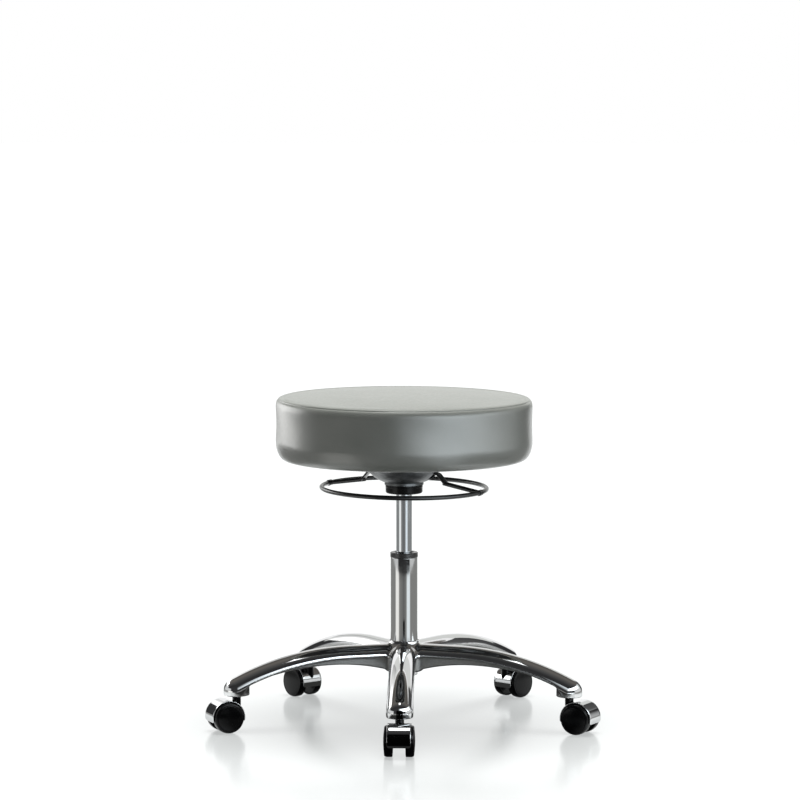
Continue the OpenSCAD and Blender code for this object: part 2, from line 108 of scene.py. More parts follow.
def lathe(profile, segments, closed=False):
    """Points and faces of a (radius, height) profile turned round Z. Ends on the axis close in a fan."""
    angles = np.arange(segments) * 2 * math.pi / segments
    points, rings = [], []
    for radius, height in profile:
        if radius < 1e-6:
            rings.append([len(points)] * segments)
            points.append((0.0, 0.0, height))
        else:
            rings.append(list(range(len(points), len(points) + segments)))
            points += [(radius * math.cos(a), radius * math.sin(a), height) for a in angles]
    if closed:
        rings.append(rings[0])
    faces = []
    for ring, following in zip(rings, rings[1:]):
        for j in range(segments):
            k = (j + 1) % segments
            corners = [ring[j], ring[k], following[k], following[j]]
            face = [c for n, c in enumerate(corners) if c not in corners[:n]]
            if len(face) > 2:
                faces.append(tuple(face))
    return np.array(points), faces


def bend(before, here, after, reach, steps):
    """Points of a smooth bend at a corner, which starts and ends this far from it."""
    first = here + (before - here).normalized() * reach
    last = here + (after - here).normalized() * reach
    shares = [k / steps for k in range(steps + 1)]
    return [first * (1 - t) ** 2 + here * 2 * t * (1 - t) + last * t ** 2 for t in shares]


def rounded(corners, radius, steps=5):
    """A closed outline whose corners are rounded. Each corner is (x, y) or (x, y, its own radius)."""
    outline = []
    for i, corner in enumerate(corners):
        here = Vector(corner[:2])
        before, after = Vector(corners[i - 1][:2]), Vector(corners[(i + 1) % len(corners)][:2])
        own = corner[2] if len(corner) > 2 else radius
        half = (before - here).angle(after - here) / 2
        reach = min(own / math.tan(half), (before - here).length * 0.49, (after - here).length * 0.49)
        if own <= 0 or reach < 1e-6:
            outline.append(tuple(here))
        else:
            outline += [tuple(point) for point in bend(before, here, after, reach, steps)]
    return outline


def tube(path, radius, sides, closed=False):
    """Points and faces of a round wire along a path of points, with rounded ends."""
    path = [Vector(p) for p in path]
    count = len(path)
    points = []
    normal = None
    for i, here in enumerate(path):
        ahead = path[(i + 1) % count] if closed or i < count - 1 else here
        behind = path[i - 1] if closed or i > 0 else here
        along = (ahead - behind).normalized()
        if normal is None:
            normal = along.orthogonal().normalized()
        normal = (normal - along * normal.dot(along)).normalized()
        other = along.cross(normal)
        for j in range(sides):
            a = 2 * math.pi * j / sides
            points.append(here + (normal * math.cos(a) + other * math.sin(a)) * radius)
    faces = grid_faces(count, sides, closed_rows=closed, closed_columns=True)
    if not closed:
        first, last = (path[1] - path[0]).normalized(), (path[-1] - path[-2]).normalized()
        points += [path[0] - first * radius * 0.3, path[-1] + last * radius * 0.3]
        start, end = len(points) - 2, len(points) - 1
        for j in range(sides):
            k = (j + 1) % sides
            faces.append((start, k, j))
            faces.append((end, (count - 1) * sides + j, (count - 1) * sides + k))
    return np.array([tuple(p) for p in points]), faces


def joined(*parts):
    """Several (points, faces) as one."""
    points, faces, base = [], [], 0
    for part_points, part_faces in parts:
        points.append(part_points)
        faces += [tuple(base + c for c in face) for face in part_faces]
        base += len(part_points)
    return np.vstack(points), faces


def moved(part, matrix):
    """(points, faces) carried by a 4 x 4 matrix in millimetres."""
    points, faces = part
    turn = np.array(matrix)
    return points @ turn[:3, :3].T + turn[:3, 3], faces


def turned(direction):
    """Turns +X to the direction that lies this many degrees round the column from the front."""
    return Matrix.Rotation(math.radians(direction - 90), 4, "Z")


# Smooth solids from distance functions, for cast shapes with fillets

def smooth_min(a, b, width):
    share = np.clip(0.5 + 0.5 * (b - a) / width, 0, 1)
    return b * (1 - share) + a * share - width * share * (1 - share)


def smooth_max(a, b, width):
    return -smooth_min(-a, -b, width)


def gradient(field, points, step=0.05):
    slopes = []
    for axis in range(3):
        ahead, behind = points.copy(), points.copy()
        ahead[:, axis] += step
        behind[:, axis] -= step
        slopes.append((field(ahead) - field(behind)) / (2 * step))
    return np.stack(slopes, 1)


def onto_surface(field, points, rounds):
    for _ in range(rounds):
        slope = gradient(field, points)
        size = np.maximum((slope ** 2).sum(1), 0.05)
        points = points - slope * (np.clip(field(points), -1.5, 1.5) / size)[:, None]
    return points


def field_mesh(field, corner, far_corner, cell):
    """Points, quads and normals of the surface where a distance function is zero."""
    corner, far_corner = np.array(corner, float), np.array(far_corner, float)
    counts = np.ceil((far_corner - corner) / cell).astype(int) + 1
    axes = [corner[k] + cell * np.arange(counts[k]) for k in range(3)]
    inside = np.empty(counts, bool)
    across, upward = np.meshgrid(axes[1], axes[2], indexing="ij")
    for i, x in enumerate(axes[0]):
        slab = np.stack([np.full(across.size, x), across.ravel(), upward.ravel()], 1)
        inside[i] = (field(slab) < 0).reshape(counts[1], counts[2])
    corners = [inside[i:counts[0] - 1 + i, j:counts[1] - 1 + j, k:counts[2] - 1 + k]
               for i in (0, 1) for j in (0, 1) for k in (0, 1)]
    active = np.logical_or.reduce(corners) & ~np.logical_and.reduce(corners)
    index = np.full(active.shape, -1)
    index[active] = np.arange(active.sum())
    points = corner + (np.argwhere(active) + 0.5) * cell
    quads = []
    for axis in range(3):
        a, b = (axis + 1) % 3, (axis + 2) % 3
        one = np.moveaxis(inside, [axis, a, b], [0, 1, 2])
        cells = np.moveaxis(index, [axis, a, b], [0, 1, 2])
        here, there = one[:-1, 1:-1, 1:-1], one[1:, 1:-1, 1:-1]
        around = np.stack([cells[:, :-1, :-1], cells[:, 1:, :-1], cells[:, 1:, 1:], cells[:, :-1, 1:]], -1)
        quads.append(around[here & ~there])
        quads.append(around[~here & there][:, ::-1])
    quads = np.vstack(quads)
    for _ in range(3):
        points = onto_surface(field, points, 2)
        total, number = np.zeros_like(points), np.zeros(len(points))
        for k in range(4):
            for step in (1, 3):
                np.add.at(total, quads[:, k], points[quads[:, (k + step) % 4]])
                np.add.at(number, quads[:, k], 1)
        points = 0.4 * points + 0.6 * total / number[:, None]
    points = onto_surface(field, points, 5)
    normals = gradient(field, points, 0.2)
    normals /= np.linalg.norm(normals, axis=1)[:, None]
    return points, quads, normals


# Materials

def material(name):
    made = bpy.data.materials.new(name)
    made.use_nodes = True
    made.node_tree.nodes.clear()
    return made


def feed(tree, value, socket):
    """Links a socket to another one, or sets it to a number or a colour."""
    if hasattr(value, "is_linked"):
        tree.links.new(value, socket)
    else:
        socket.default_value = (*value, 1) if isinstance(value, tuple) else value


def node(tree, kind, *inputs, setting=None, **named):
    """A new shader node with its inputs fed in order or by name. One of its settings may come first."""
    made = tree.nodes.new("ShaderNode" + kind)
    if setting:
        setattr(made, *setting)
    for key, value in (*enumerate(inputs), *named.items()):
        feed(tree, value, made.inputs[key.replace("_", " ") if isinstance(key, str) else key])
    return made


def math_node(tree, operation, first, second):
    """One arithmetic step between sockets or numbers."""
    return node(tree, "Math", first, second, setting=("operation", operation)).outputs["Value"]


class Shader:
    """A principled surface with helpers for the procedural detail on it."""

    def __init__(self, name, **inputs):
        self.material = material(name)
        self.tree = self.material.node_tree
        self.surface = node(self.tree, "BsdfPrincipled", **inputs)
        node(self.tree, "OutputMaterial", Surface=self.surface.outputs["BSDF"])
        self.place = node(self.tree, "TexCoord").outputs["Object"]

    def texture(self, kind, size, stretch=(1, 1, 1), **settings):
        """A texture whose features are about this many millimetres across."""
        place = node(self.tree, "Mapping", self.place, Scale=[s / (size * MM) for s in stretch])
        return node(self.tree, kind, Vector=place.outputs["Vector"], Scale=1.0, **settings)

    def noise(self, size, detail, stretch=(1, 1, 1)):
        return self.texture("TexNoise", size, stretch, Detail=detail).outputs["Fac"]

    def cells(self, size, smooth=0.4):
        """Rounded pebbles."""
        pebbles = self.texture("TexVoronoi", size, setting=("feature", "SMOOTH_F1"), Smoothness=smooth)
        return pebbles.outputs["Distance"]

    def ranged(self, value, low_in, high_in, low_out, high_out):
        return node(self.tree, "MapRange", value, low_in, high_in, low_out, high_out).outputs["Result"]

    def mixed(self, factor, first, second):
        """A colour between two, by a factor."""
        mix = node(self.tree, "Mix", setting=("data_type", "RGBA"), Factor=factor, A=first, B=second)
        return mix.outputs["Result"]

    def attribute(self, name):
        return node(self.tree, "Attribute", setting=("attribute_name", name)).outputs["Fac"]

    def set(self, key, value):
        feed(self.tree, value, self.surface.inputs[key])

    def color(self, value, first, second, low_in=0.3, high_in=0.7):
        """Base colour from one to another as the value rises."""
        self.set("Base Color", self.mixed(self.ranged(value, low_in, high_in, 0, 1), first, second))

    def roughness(self, value, smooth, rough, high_in=0.7):
        self.set("Roughness", self.ranged(value, 0.3, high_in, smooth, rough))

    def bump(self, height, distance, strength=0.5):
        """Relief of this many millimetres, on top of any before it."""
        relief = node(self.tree, "Bump", Strength=strength, Distance=distance * MM, Height=height)
        socket = self.surface.inputs["Normal"]
        if socket.is_linked:
            feed(self.tree, socket.links[0].from_socket, relief.inputs["Normal"])
        feed(self.tree, relief.outputs["Normal"], socket)


def chrome(name, color, roughness, smear):
    """Bright plating with faint wipe marks that show only as changes of gloss."""
    shader = Shader(name, Metallic=1.0, Base_Color=color)
    shader.roughness(shader.noise(14, 4), roughness, roughness + smear, 0.75)
    shader.bump(shader.noise(30, 1), 0.02)
    return shader.material


def polished_casting():
    """Polished metal, with the cast skin left matte where the mesh marks the webs and undersides."""
    shader = Shader("polished_base", Metallic=1.0)
    cast = shader.attribute("cast_skin")
    grain = shader.noise(1.6, 5)
    dull = shader.mixed(shader.ranged(grain, 0.3, 0.7, 0, 1), (0.48, 0.485, 0.48), (0.64, 0.64, 0.63))
    shader.set("Base Color", shader.mixed(cast, (0.80, 0.805, 0.81), dull))
    gloss = shader.ranged(shader.noise(16, 4), 0.3, 0.75, 0.03, 0.07)
    shader.set("Roughness", node(shader.tree, "Mix", Factor=cast, A=gloss, B=0.42).outputs["Result"])
    shader.bump(shader.noise(26, 1), 0.03)
    shader.bump(math_node(shader.tree, "MULTIPLY", cast, grain), 0.12, 0.6)
    return shader.material


def vinyl():
    """Smooth upholstery vinyl with a fine pebbled grain and slow changes of tone."""
    shader = Shader("vinyl", Metallic=0.0, Coat_Weight=0.9, Coat_Roughness=0.27, Coat_IOR=1.7)
    shader.color(shader.noise(70, 3), (0.235, 0.247, 0.226), (0.262, 0.272, 0.25))
    shader.roughness(shader.noise(5, 4), 0.36, 0.46)
    shader.bump(shader.noise(45, 2), 0.35)
    shader.bump(shader.cells(0.9), 0.05)
    return shader.material


def plastic(name, color, roughness, grain=0.6):
    shader = Shader(name, Metallic=0.0, Specular_IOR_Level=0.22)
    lighter = tuple(c * 1.5 + 0.001 for c in color)
    shader.color(shader.noise(6, 3), color, lighter, 0.35, 0.75)
    shader.roughness(shader.noise(9, 4), roughness, roughness + 0.1)
    shader.bump(shader.noise(grain, 3), 0.006)
    return shader.material


def painted(name, color, roughness):
    """Powder coat or paint with a faint orange peel."""
    shader = Shader(name, Metallic=0.0, Coat_Weight=0.5, Coat_Roughness=0.12)
    lighter = tuple(c * 1.35 + 0.003 for c in color)
    shader.color(shader.noise(12, 4), color, lighter, 0.35)
    shader.roughness(shader.noise(4, 4), roughness, roughness + 0.12)
    shader.bump(shader.noise(1.1, 2), 0.025)
    return shader.material


def steel(name, color=(0.56, 0.56, 0.55), roughness=0.32):
    """Bare steel with a faint vertical grain."""
    shader = Shader(name, Metallic=1.0)
    shader.color(shader.noise(5, 4), color, tuple(c * 0.75 for c in color))
    shader.roughness(shader.noise(2, 3, (1, 1, 8)), roughness, roughness + 0.15)
    shader.bump(shader.noise(0.5, 2, (1, 1, 6)), 0.01)
    return shader.material


def rubber():
    shader = Shader("black_rubber", Metallic=0.0)
    shader.color(shader.noise(3, 4), (0.018, 0.018, 0.018), (0.035, 0.035, 0.034), 0, 1)
    shader.roughness(shader.noise(2, 3), 0.6, 0.8)
    shader.bump(shader.noise(0.7, 3), 0.03, 0.6)
    return shader.material


def plywood():
    shader = Shader("plywood", Metallic=0.0)
    layers = shader.ranged(shader.noise(2.4, 2, (0.02, 0.02, 1)), 0.45, 0.6, 0, 0.5)
    figure = shader.noise(20, 5, (0.25, 1.6, 1))
    shade = shader.mixed(shader.ranged(figure, 0.3, 0.7, 0, 1), (0.50, 0.35, 0.20), (0.66, 0.50, 0.32))
    shader.set("Base Color", shader.mixed(layers, shade, (0.34, 0.22, 0.12)))
    shader.roughness(figure, 0.55, 0.75)
    shader.bump(figure, 0.06, 0.6)
    return shader.material


def foam():
    shader = Shader("foam", Metallic=0.0, Roughness=0.95)
    pores = shader.cells(1.3, 0.2)
    shader.color(pores, (0.62, 0.55, 0.33), (0.80, 0.74, 0.52), 0, 1)
    shader.bump(pores, 0.4, 0.7)
    return shader.material


def dust_cloth():
    """Black spun-bonded cloth: tangled fibres with a grid of small embossed points."""
    shader = Shader("dust_cloth", Metallic=0.0, Sheen_Weight=0.15)
    fibres = shader.noise(0.8, 6)
    shader.color(fibres, (0.012, 0.012, 0.012), (0.05, 0.05, 0.05), 0, 1)
    shader.roughness(fibres, 0.75, 0.95)
    shader.bump(shader.noise(9, 3), 0.5)
    shader.bump(shader.cells(1.6, 0.1), 0.12, 0.8)
    return shader.material


def brass():
    shader = Shader("brass_cage", Metallic=1.0)
    shader.color(shader.noise(2, 4), (0.62, 0.46, 0.20), (0.74, 0.58, 0.30), 0, 1)
    shader.roughness(shader.noise(1, 3), 0.25, 0.4)
    return shader.material


MATERIALS = {
    "polished_base": polished_casting(),
    "column_chrome": chrome("column_chrome", (0.66, 0.67, 0.67), 0.04, 0.05),
    "cylinder_chrome": chrome("cylinder_chrome", (0.66, 0.69, 0.72), 0.07, 0.06),
    "hood_chrome": chrome("hood_chrome", (0.80, 0.81, 0.82), 0.03, 0.04),
    "dark_collar": painted("dark_collar", (0.035, 0.036, 0.037), 0.25),
    "dark_steel": steel("dark_steel", (0.19, 0.197, 0.202), 0.3),
    "black_lever": painted("black_lever", (0.012, 0.012, 0.013), 0.26),
    "gloss_black": plastic("gloss_black", (0.003, 0.003, 0.0035), 0.14),
    "black_nylon": plastic("black_nylon", (0.02, 0.02, 0.02), 0.42),
    "wheel_black": plastic("wheel_black", (0.003, 0.003, 0.0035), 0.13, 1.2),
    "white_nylon": plastic("white_nylon", (0.62, 0.61, 0.56), 0.4),
    "steel": steel("steel"),
    "brass_cage": brass(),
    "black_rubber": rubber(),
    "plywood": plywood(),
    "foam": foam(),
    "vinyl": vinyl(),
    "dust_cloth": dust_cloth(),
}


def finish(piece, slot, body, *names, sharp=None):
    """Gives a piece its material and slot, lets it ride on a body and stand for CAD nodes.
    Edges sharper than this many degrees stay sharp."""
    if sharp:
        piece.data.set_sharp_from_angle(angle=math.radians(sharp))
    piece.data.materials.append(MATERIALS[slot])
    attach(piece, body)
    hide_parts(*names)


def turned_piece(name, outline, segments, slot, body, cad_name):
    """A piece made on a lathe, from its closed outline."""
    finish(new_object(name, *lathe(outline, segments, closed=True)), slot, body, cad_name, sharp=50)


# Every CAD node gets its slot's material; those that are replaced below aren't shown
for part in frame["record"]["subparts"]:
    node_object = frame["nodes"][part["node"]]
    node_object.data.materials.clear()
    node_object.data.materials.append(MATERIALS[part["material_slot"]])


# Star base

ARM_COUNT = 5
ARM_STEP = math.radians(360 / ARM_COUNT)
ARM_R = 22
ARM_HUB_R = 23.4
STEM = Vector(JOINTS["caster_1_swivel"]["pos_m"]).xy
ARM_REACH = STEM.length / MM
BOSS_Z = low("star_base")
COLUMN_R = high("column_tube", 0)
LIP_TOP = high("star_base")
LIP_R = COLUMN_R + 2
ARM_TOP = LIP_TOP - 5.5
CAP_DEPTH = 20.5
FLANK_STRIP = 4.5
FLAT_R = 95
ARCH_R = 480
PATH_R = ARCH_R - ARM_R
ARCH_Z = ARM_TOP - ARCH_R
ARCH_ANGLE = math.asin((ARM_REACH - FLAT_R) / PATH_R)
END_Z = ARCH_Z + PATH_R * math.cos(ARCH_ANGLE)
HUB_R = 30
HUB_Z = ARM_TOP - 46.5
HUB_RIM = ARM_TOP - 9
WEB_HALF = 8.5
WEB_PEAK_R = 125
WEB_PEAK_Z = HUB_Z + 14.5
WEB_INNER_ARCH = 350
WEB_OUTER_ARCH = 450
WEB_END = 236
ARM_FILLET = 9
LIP_FILLET = 7
SKIRT_FILLET = 8
WEB_FILLET = 2.5
EDGE = 2


def rise_on_arm(u, z):
    """Height over the curve that the middle of an arm follows. u runs out along the arm."""
    return np.where(u > FLAT_R, np.hypot(u - FLAT_R, z - ARCH_Z) - PATH_R, z - (ARM_TOP - ARM_R))


def arm_parts(u, v, z):
    """Distances to one arm's cap and web. v runs across the arm."""
    rise = rise_on_arm(u, z)
    past_end = (u > FLAT_R) & (np.arctan2(u - FLAT_R, z - ARCH_Z) > ARCH_ANGLE)
    width = ARM_R + (ARM_HUB_R - ARM_R) * np.clip(1 - u / ARM_REACH, 0, 1)
    round_cap = np.hypot(v, rise + width - ARM_R) - width
    ball = np.sqrt((u - ARM_REACH) ** 2 + v ** 2 + (z - END_Z) ** 2) - ARM_R
    bar = np.where(past_end, ball, round_cap)
    fade = np.clip((u - (ARM_REACH - ARM_R)) / ARM_R, 0, 1)
    under_cap = ARM_R - CAP_DEPTH - np.where(past_end, ARM_R, rise) - ARM_R * fade ** 2
    cap = smooth_max(bar, under_cap, 3.0)
    boss = smooth_max(np.hypot(u - ARM_REACH, v) - ARM_R, BOSS_Z - z, EDGE)
    boss = np.maximum(boss, np.minimum(z - END_Z, bar + 1.5))
    cap = smooth_max(smooth_min(cap, boss, 1.5), BOSS_Z - z, EDGE)
    arch = np.where(u < WEB_PEAK_R, WEB_INNER_ARCH, WEB_OUTER_ARCH)
    under = arch - np.hypot(u - WEB_PEAK_R, z - WEB_PEAK_Z + arch)
    web = smooth_max(smooth_max(v - WEB_HALF, under, EDGE), rise - 6, 1.0)
    web = smooth_max(web, u - WEB_END, 6.0)
    return cap, web


def round_column(points):
    """Distance from the column's axis, and the angle from the nearest arm."""
    around = np.arctan2(points[:, 0], -points[:, 1])
    return np.hypot(points[:, 0], points[:, 1]), around - ARM_STEP * np.round(around / ARM_STEP)


def flank_skin(u, z):
    """1 on the lowest strip of an arm's flank, which stays as cast like the web, and 0 elsewhere."""
    strip = np.clip(ARM_R - CAP_DEPTH + FLANK_STRIP - rise_on_arm(u, z), 0, 1)
    return strip * np.clip((ARM_REACH - ARM_R - u) / 8, 0, 1) * np.clip((u - HUB_R - 4) / 8, 0, 1)


def boss_skin(u, z):
    """1 on the inner side of a boss, which is cast too."""
    inner = np.clip((ARM_REACH + 13 - u) / 5, 0, 1)
    return inner * np.clip((u - ARM_REACH + ARM_R + 4) / 4, 0, 1) * np.clip((END_Z - 1.5 - z) / 1.5, 0, 1)


def base_parts(points):
    """Distances to the polished caps with the hub's lip, and to the cast webs with the hub's skirt."""
    radius, near = round_column(points)
    other = np.abs(near) - ARM_STEP
    z = points[:, UP]
    cap, web = arm_parts(radius * np.cos(near), np.abs(radius * np.sin(near)), z)
    next_cap, next_web = arm_parts(radius * np.cos(other), np.abs(radius * np.sin(other)), z)
    lip = np.maximum(smooth_max(radius - LIP_R, z - LIP_TOP, 2.5), HUB_RIM - z)
    skirt = smooth_max(smooth_max(radius - HUB_R, HUB_Z - z, EDGE), z - HUB_RIM, EDGE)
    caps = smooth_min(smooth_min(cap, next_cap, ARM_FILLET), lip, LIP_FILLET)
    webs = smooth_min(smooth_min(web, next_web, ARM_FILLET), skirt, SKIRT_FILLET)
    return caps, webs


def base_field(points):
    """Distance to the whole casting, with the column's hole through it."""
    bore = COLUMN_R + 0.1 - np.hypot(points[:, 0], points[:, 1])
    return np.maximum(smooth_min(*base_parts(points), WEB_FILLET), bore)


def star_base():
    """The casting as one blended surface, marked where it stays as cast."""
    reach = ARM_REACH + ARM_R + 4
    lowest, highest = (-reach, -reach, BOSS_Z - 5), (reach, reach, LIP_TOP + 5)
    points, quads, normals = field_mesh(base_field, lowest, highest, 2.0)
    piece = new_object("polished_star_base", points, quads)
    caps, webs = base_parts(points)
    radius, near = round_column(points)
    along, z = radius * np.cos(near), points[:, UP]
    skin = np.clip((caps - webs) / 1.5 + 0.5, 0, 1) + np.clip((-normals[:, UP] - 0.75) * 6, 0, 1)
    skin = np.maximum(skin, np.maximum(0.5 * boss_skin(along, z), flank_skin(along, z)))
    attribute = piece.data.attributes.new("cast_skin", "FLOAT", "POINT")
    attribute.data.foreach_set("value", np.clip(skin, 0, 1).astype(np.float32))
    piece.data.normals_split_custom_set_from_vertices(normals.tolist())
    finish(piece, "polished_base", "base", "star_base")


# Column and gas lift

COLUMN_LOW = low("column_tube")
COLUMN_TOP = high("column_tube")
COLLAR_R = high("column_collar", 0)
COLLAR_TOP = high("column_collar")
CYLINDER_R = high("gas_cylinder", 0)
CYLINDER_LOW = low("gas_cylinder")
CYLINDER_TOP = high("gas_cylinder")


def column():
    wall, stub_hole = 1.5, 4.2
    inner, floor_top = COLUMN_R - wall, COLUMN_LOW + 4
    outline = rounded([
        (stub_hole, COLUMN_LOW, 0), (COLUMN_R, COLUMN_LOW, 1.2), (COLUMN_R, COLUMN_TOP, 0.4),
        (inner, COLUMN_TOP, 0.3), (inner, floor_top, 0.8), (stub_hole, floor_top, 0),
    ], 0.5)
    turned_piece("column_tube_turned", outline, 160, "column_chrome", "base", "column_tube")


def collar():
    """The column's dark end cap: a skirt with a rolled edge and a small step round the cylinder."""
    bore = CYLINDER_R + 0.3
    outline = rounded([
        (bore, COLUMN_TOP, 0), (COLLAR_R - 0.6, COLUMN_TOP + 0.05, 0.5), (COLLAR_R, COLUMN_TOP + 1.6, 0.8),
        (COLLAR_R - 0.1, COLLAR_TOP - 2.2, 0.4), (COLLAR_R, COLLAR_TOP - 0.9, 0.7),
        (COLLAR_R - 1.4, COLLAR_TOP, 0.8), (bore + 3.2, COLLAR_TOP - 0.1, 0.5),
        (bore + 1.6, COLLAR_TOP - 1.8, 0.8), (bore, COLLAR_TOP - 2.0, 0),
    ], 0.5)
    turned_piece("column_collar_turned", outline, 160, "dark_collar", "base", "column_collar")


def gas_cylinder():
    """The ground cylinder, with its taper in the seat's socket and the valve's hole in its end."""
    wall, taper, pin_hole, plug = 1.8, 0.7, 4.05, 12
    inner = CYLINDER_R - wall
    outline = rounded([
        (inner, CYLINDER_LOW, 0.3), (CYLINDER_R, CYLINDER_LOW, 1.0), (CYLINDER_R, low("taper_socket"), 0),
        (CYLINDER_R - taper, CYLINDER_TOP, 1.0), (pin_hole, CYLINDER_TOP, 0.3),
        (pin_hole, CYLINDER_TOP - plug, 0.3), (inner, CYLINDER_TOP - plug, 0.5),
    ], 0.5)
    turned_piece("gas_cylinder_ground", outline, 128, "cylinder_chrome", "seat", "gas_cylinder")


# Mechanism

CUP_R = high("socket_cup", 0)
CUP_Z = low("socket_cup")
CUP_TOP = high("socket_cup")
FLANGE_R = high("seat_plate", 0)
SEAT_Z = high("seat_plate")
RING_LEAN = 0.7
WIRE_R = 3.9
SPOKE_R = 3.8
LEVER_DIRECTION = 66.9
LEVER_W = 16
LEVER_T = 3
LEVER_TOP = high("lever_bar")
# The lever's bends in its own vertical plane, as distance out and height
LEVER_FOOT = (78.9, CUP_TOP + 3.2)
LEVER_KNEE = (63.7, CUP_TOP + 21)
LEVER_FLAT = (48, CUP_TOP + 21)
LEVER_PAD = (14, LEVER_TOP - LEVER_T / 2)
SPOKE_END = (73, CUP_TOP + 5.2)


def socket_cup():
    wall, bore, shelf = 2, CYLINDER_R + 0.3, CUP_Z + 2.5
    outline = rounded([
        (bore, CUP_Z, 0.4), (CUP_R - 0.3, CUP_Z, 4.2), (CUP_R - 0.3, CUP_TOP - 4.2, 0.3),
        (CUP_R, CUP_TOP - 3.9, 0.3), (CUP_R, CUP_TOP, 0.5), (CUP_R - wall, CUP_TOP, 0.3),
        (CUP_R - wall, shelf, 2.5), (bore, shelf, 0.3),
    ], 0.5, 7)
    turned_piece("socket_cup_moulded", outline, 128, "gloss_black", "seat", "socket_cup")


def ring_middle():
    """Radius and height of the release ring's middle, from its CAD node."""
    lows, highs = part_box("release_ring")
    return (highs[0] - lows[0]) / 2 / MM - WIRE_R, (highs[UP] + lows[UP]) / 2 / MM


def ring_place(side):
    """Place of the ring's wire on one side of the lever, as distance out and height."""
    radius, height = ring_middle()
    lean = math.radians(RING_LEAN)
    return radius * math.cos(lean), height - side * radius * math.sin(lean)


def release_ring():
    radius, height = ring_middle()
    steps = 240
    turns = [2 * math.pi * i / steps for i in range(steps)]
    circle = [(radius * math.cos(a), radius * math.sin(a), 0) for a in turns]
    lean = Matrix.Translation((0, 0, height)) @ Matrix.Rotation(math.radians(RING_LEAN), 4, "Y")
    wire = moved(tube(circle, WIRE_R, 28, closed=True), turned(LEVER_DIRECTION) @ lean)
    finish(new_object("release_ring_wire", *wire), "black_lever", "release", "release_ring")


def ring_collars():
    """Short crimped sleeves where the spokes meet the ring."""
    half, end_r, waist_r, bore = 5, 5.2, 4.9, WIRE_R + 0.02
    outline = rounded([(bore, -half), (end_r, -half, 1.0), (waist_r, 0, 3), (end_r, half, 1.0), (bore, half)],
                      0.1, 6)
    sleeves = []
    for side in (1, -1):
        out, height = ring_place(side)
        place = Matrix.Translation((side * out, 0, height)) @ Matrix.Rotation(math.radians(90), 4, "X")
        sleeves.append(moved(lathe(outline, 48, closed=True), turned(LEVER_DIRECTION) @ place))
    piece = new_object("ring_collars_crimped", *joined(*sleeves))
    finish(piece, "black_lever", "release", "ring_collars", sharp=60)


def bent_strap(path, width, thickness):
    """A flat strap along a path in the XZ plane, with rounded bends and edges."""
    corners = [Vector(corner) for corner in path]
    line = [corners[0]]
    for before, here, after in zip(corners, corners[1:], corners[2:]):
        reach = min(4.0, (before - here).length * 0.4, (after - here).length * 0.4)
        line += bend(before, here, after, reach, 6)
    line.append(corners[-1])
    half_w, half_t = width / 2, thickness / 2
    section = rounded([(-half_w, -half_t), (half_w, -half_t), (half_w, half_t), (-half_w, half_t)], 0.6, 3)
    points = []
    for i, here in enumerate(line):
        along = (line[min(i + 1, len(line) - 1)] - line[max(i - 1, 0)]).normalized()
        normal = Vector((-along.y, along.x))
        points += [(here.x + normal.x * t, w, here.y + normal.y * t) for w, t in section]
    return np.array(points), run_faces(len(line), len(section))


def lever_bar():
    half = [LEVER_PAD, LEVER_FLAT, LEVER_KNEE, LEVER_FOOT]
    other_half = [(-out, height) for out, height in half[::-1]]
    bar = bent_strap(other_half + half, LEVER_W, LEVER_T)
    piece = new_object("lever_bar_bent", *moved(bar, turned(LEVER_DIRECTION)))
    finish(piece, "black_lever", "release", "lever_bar", sharp=45)


def ring_spokes():
    bars = []
    for side in (1, -1):
        out, height = ring_place(side)
        path = [(side * SPOKE_END[0], 0, SPOKE_END[1]), (side * out, 0, height)]
        bars.append(moved(tube(path, SPOKE_R, 28), turned(LEVER_DIRECTION)))
    piece = new_object("ring_spokes_round", *joined(*bars))
    finish(piece, "black_lever", "release", "ring_spokes", sharp=45)


# Casters

CASTER_TRAIL = (Vector(JOINTS["caster_1_left_roll"]["pos_m"]).xy - STEM).length / MM
WHEEL_R = 26
WHEEL_W = 15.3
WHEEL_GAP = 21.6
CAP_R = 21.5
CAP_BULGE = 1.5
HOOD_IN_R = 27.4
HOOD_R = 29
HOOD_W = 39.4
HOOD_ROUND = math.radians(104)
HOOD_CORNER = 4.5


def caster_place(index):
    """From a caster's own frame, stem at the origin and axle out along +X, to the stool's frame."""
    stem = Vector(JOINTS[f"caster_{index}_swivel"]["pos_m"]) / MM
    out = Vector(JOINTS[f"caster_{index}_left_roll"]["pos_m"]) / MM - stem
    return Matrix.Translation((stem.x, stem.y, 0)) @ Matrix.Rotation(math.atan2(out.y, out.x), 4, "Z")


def on_axle():
    """Turns a lathe's Z axis onto the axle, with the outer end of a right wheel along +Y."""
    return Matrix.Translation((CASTER_TRAIL, 0, WHEEL_R)) @ Matrix.Rotation(math.radians(-90), 4, "X")


